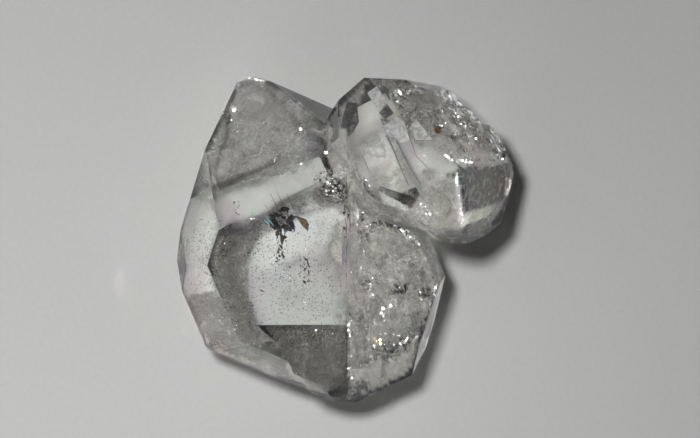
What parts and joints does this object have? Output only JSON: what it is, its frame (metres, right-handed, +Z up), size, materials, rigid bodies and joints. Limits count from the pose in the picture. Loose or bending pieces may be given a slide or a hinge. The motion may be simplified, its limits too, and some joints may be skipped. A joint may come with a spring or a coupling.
{
  "type": "herkimer diamond",
  "caption": "Clear quartz specimen: a stubby double-ended crystal with a smaller crystal grown into its shoulder, lying on a prism face, for display.",
  "frame": {"origin": "the middle of the specimen's footprint, on the surface that it lies on", "axes": "+Z up; +Y along the large crystal's c axis, towards its pointed head; +X towards the smaller crystal grown into its right shoulder"},
  "size_m": [0.0356, 0.0336, 0.0191],
  "materials": {
    "clear_quartz": "natural crystal faces, glassy, with rough growth patches"
  },
  "bodies": {
    "root": {"quartz_cluster": "clear_quartz"}
  },
  "joints": []
}
